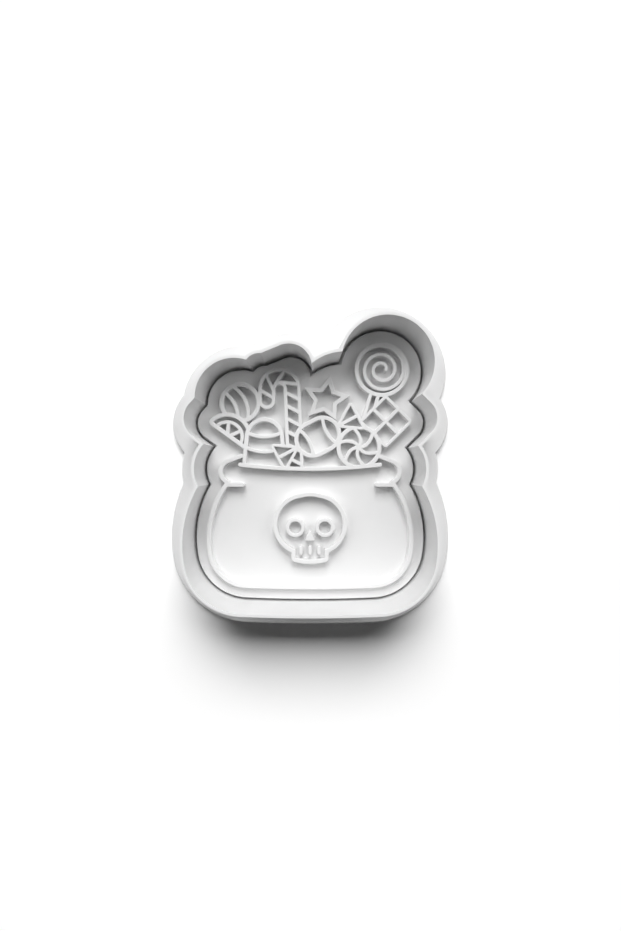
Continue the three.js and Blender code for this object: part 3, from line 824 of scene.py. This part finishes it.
def skullFigures():
    y, cheekX, cheekRadius = skull["y"], skull["cheekX"], skull["cheekRadius"]
    crown = hull((-cheekX, y, cheekRadius), (cheekX, y, cheekRadius), (0, y, skull["crownRadius"]))
    corner, bow = skull["jawCorner"], skull["chinBow"]
    jawX = skull["jawHalfWidth"] - corner
    jaw = [*bowedBase(jawX, skull["chinY"] + bow + corner, corner, bow, 0),
           (jawX, y, corner, 0, 90), (-jawX, y, corner, 90, 180)]
    noseCorners = [(0, skull["noseTop"]), (-skull["noseHalfWidth"], skull["noseBottom"]),
                   (skull["noseHalfWidth"], skull["noseBottom"])]
    nose = outline(hull(*[(noseX, noseY, skull["noseCorner"]) for noseX, noseY in noseCorners]))
    teeth = []
    for i in range(skull["teeth"]):
        x = (i - (skull["teeth"] - 1) / 2) * skull["toothPitch"]
        teeth.append(line(skull["toothWidth"], (x, skull["toothTop"]), (x, skull["toothBottom"])))
    head = figure(roundFace(crown, jaw), relief["skullLine"], [nose, *teeth])
    sockets = []
    for x in (-skull["socketX"], skull["socketX"]):
        socket = disc(x, skull["socketY"], skull["socketRadius"])
        sockets.append(figure(roundFace(socket), relief["innerLine"]))
    return [head, *sockets]


# Sections of the relief: round-topped ridges, hollows that open with the same round, and prisms
ridgeTop, edge, spare = relief["ridgeTop"], relief["edge"], relief["spare"]
rootZ = relief["plateTop"] - relief["root"]
sections = {
    "Ridge section": sectionObject("ridgeSection", [
        (0, rootZ), *quarterRound(-edge, ridgeTop - edge, edge, 0, 90)]),
    "Hollow section": sectionObject("hollowSection", [
        (0, rootZ - spare), *quarterRound(edge, ridgeTop - edge, edge, 180, 90),
        (edge, ridgeTop + spare)]),
    "Prism section": sectionObject("prismSection", [
        (0, rootZ - 2 * spare), (0, ridgeTop + 2 * spare)]),
}
lobeCurve = curveObject("lobes", centred(lobeOutlines))

# Back to front: each figure hides what lies behind its face
layers = [
    ballFigure(), caneFigure(), starFigure(), stickFigure(), tabletFigure(), lollipopFigure(),
    sliceFigure(), dropFigure(), mintFigure(), *twistFigures(), potFigure(), *skullFigures(),
]
reliefCollection = bpy.data.collections.new("relief")
scene.collection.children.link(reliefCollection)
for i, layer in enumerate(layers):
    face, width, lap = layer["face"], layer["width"], relief["lap"]
    fronts = [loop for front in layers[i + 1:] for loop in front["face"](-lap)]
    loops = {
        "Face": face(0) if width else [],
        "Hollow": face(-width) if width else [],
        "Lines": layer["lines"],
        "Clip": face(-lap) if layer["lines"] else [],
        "Strokes": layer["strokes"],
        "Fronts": fronts,
    }
    inputs = dict(sections)
    for label, drawn in loops.items():
        inputs[label] = curveObject(label.lower() + str(i), centred(drawn))
    treeObject("figure%02d" % i, reliefFigure, inputs, reliefCollection)
print("relief:", len(layers), "figures")

# Stamp: a loose plate, smaller all round by the clearance, with eased edges
plate = {"thickness": 4.0, "edge": 0.3}
plateEdge = plate["edge"]
easedGrow = -relief["clearance"] - plateEdge
plateSection = sectionObject("plateSection", [
    *quarterRound(easedGrow, plateEdge, plateEdge, 270, 360),
    *quarterRound(easedGrow, plate["thickness"] - plateEdge, plateEdge, 0, 90),
])
stampInputs = {"Lobes": lobeCurve, "Plate section": plateSection, "Relief": reliefCollection}
stampSource = treeObject("stampSource", stampBody, stampInputs, scene.collection)
stampPrint = plainPiece(stampSource, "stampPrint")
for helper in list(reliefCollection.objects):
    bpy.data.objects.remove(helper)
bpy.data.collections.remove(reliefCollection)

# Cutter: a wide flange to press on, a foot fillet, and a wall that tapers to the cutting edge
cutter = {
    "height": 18.0, "edgeThickness": 0.8, "footThickness": 1.6, "footFillet": 1.2,
    "rimRound": 0.06, "boreDraft": 0.35,
    "flangeWidth": 7.27, "flangeThickness": 2.0, "flangeRound": 0.4, "bedEdge": 0.15,
}
flange, flangeTop = cutter["flangeWidth"], cutter["flangeThickness"]
flangeRound, bedEdge = cutter["flangeRound"], cutter["bedEdge"]
rim, wallTop = cutter["rimRound"], cutter["height"]
foot, fillet = cutter["footThickness"], cutter["footFillet"]
wallSection = sectionObject("wallSection", [
    (flange - bedEdge, 0), (flange, bedEdge),
    *quarterRound(flange - flangeRound, flangeTop - flangeRound, flangeRound, 0, 90),
    *quarterRound(foot + fillet, flangeTop + fillet, fillet, 270, 180, meshing["filletSteps"]),
    *quarterRound(cutter["edgeThickness"] - rim, wallTop - rim, rim, 0, 90),
])
boreSection = sectionObject("boreSection", [
    (cutter["boreDraft"], -spare), (cutter["boreDraft"], 0),
    *quarterRound(rim, wallTop - rim, rim, 180, 90), (rim, wallTop + spare),
])
cutterInputs = {"Lobes": lobeCurve, "Outer section": wallSection, "Bore section": boreSection}
cutterSource = treeObject("cutterSource", boredBlank, cutterInputs, scene.collection)
cutterPrint = plainPiece(cutterSource, "cutterPrint")
for helper in [o for o in scene.objects if o.type == "CURVE"]:
    bpy.data.objects.remove(helper)

for piece, node in ((cutterPrint, "cutter"), (stampPrint, "stamp")):
    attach(piece, node)
    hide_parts(node)

seenLow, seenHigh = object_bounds()
cadSize, seenSize = [[round(v / mm, 2) for v in size]
                     for size in (cadHigh - cadLow, seenHigh - seenLow)]
print("size: CAD", cadSize, "visual", seenSize)
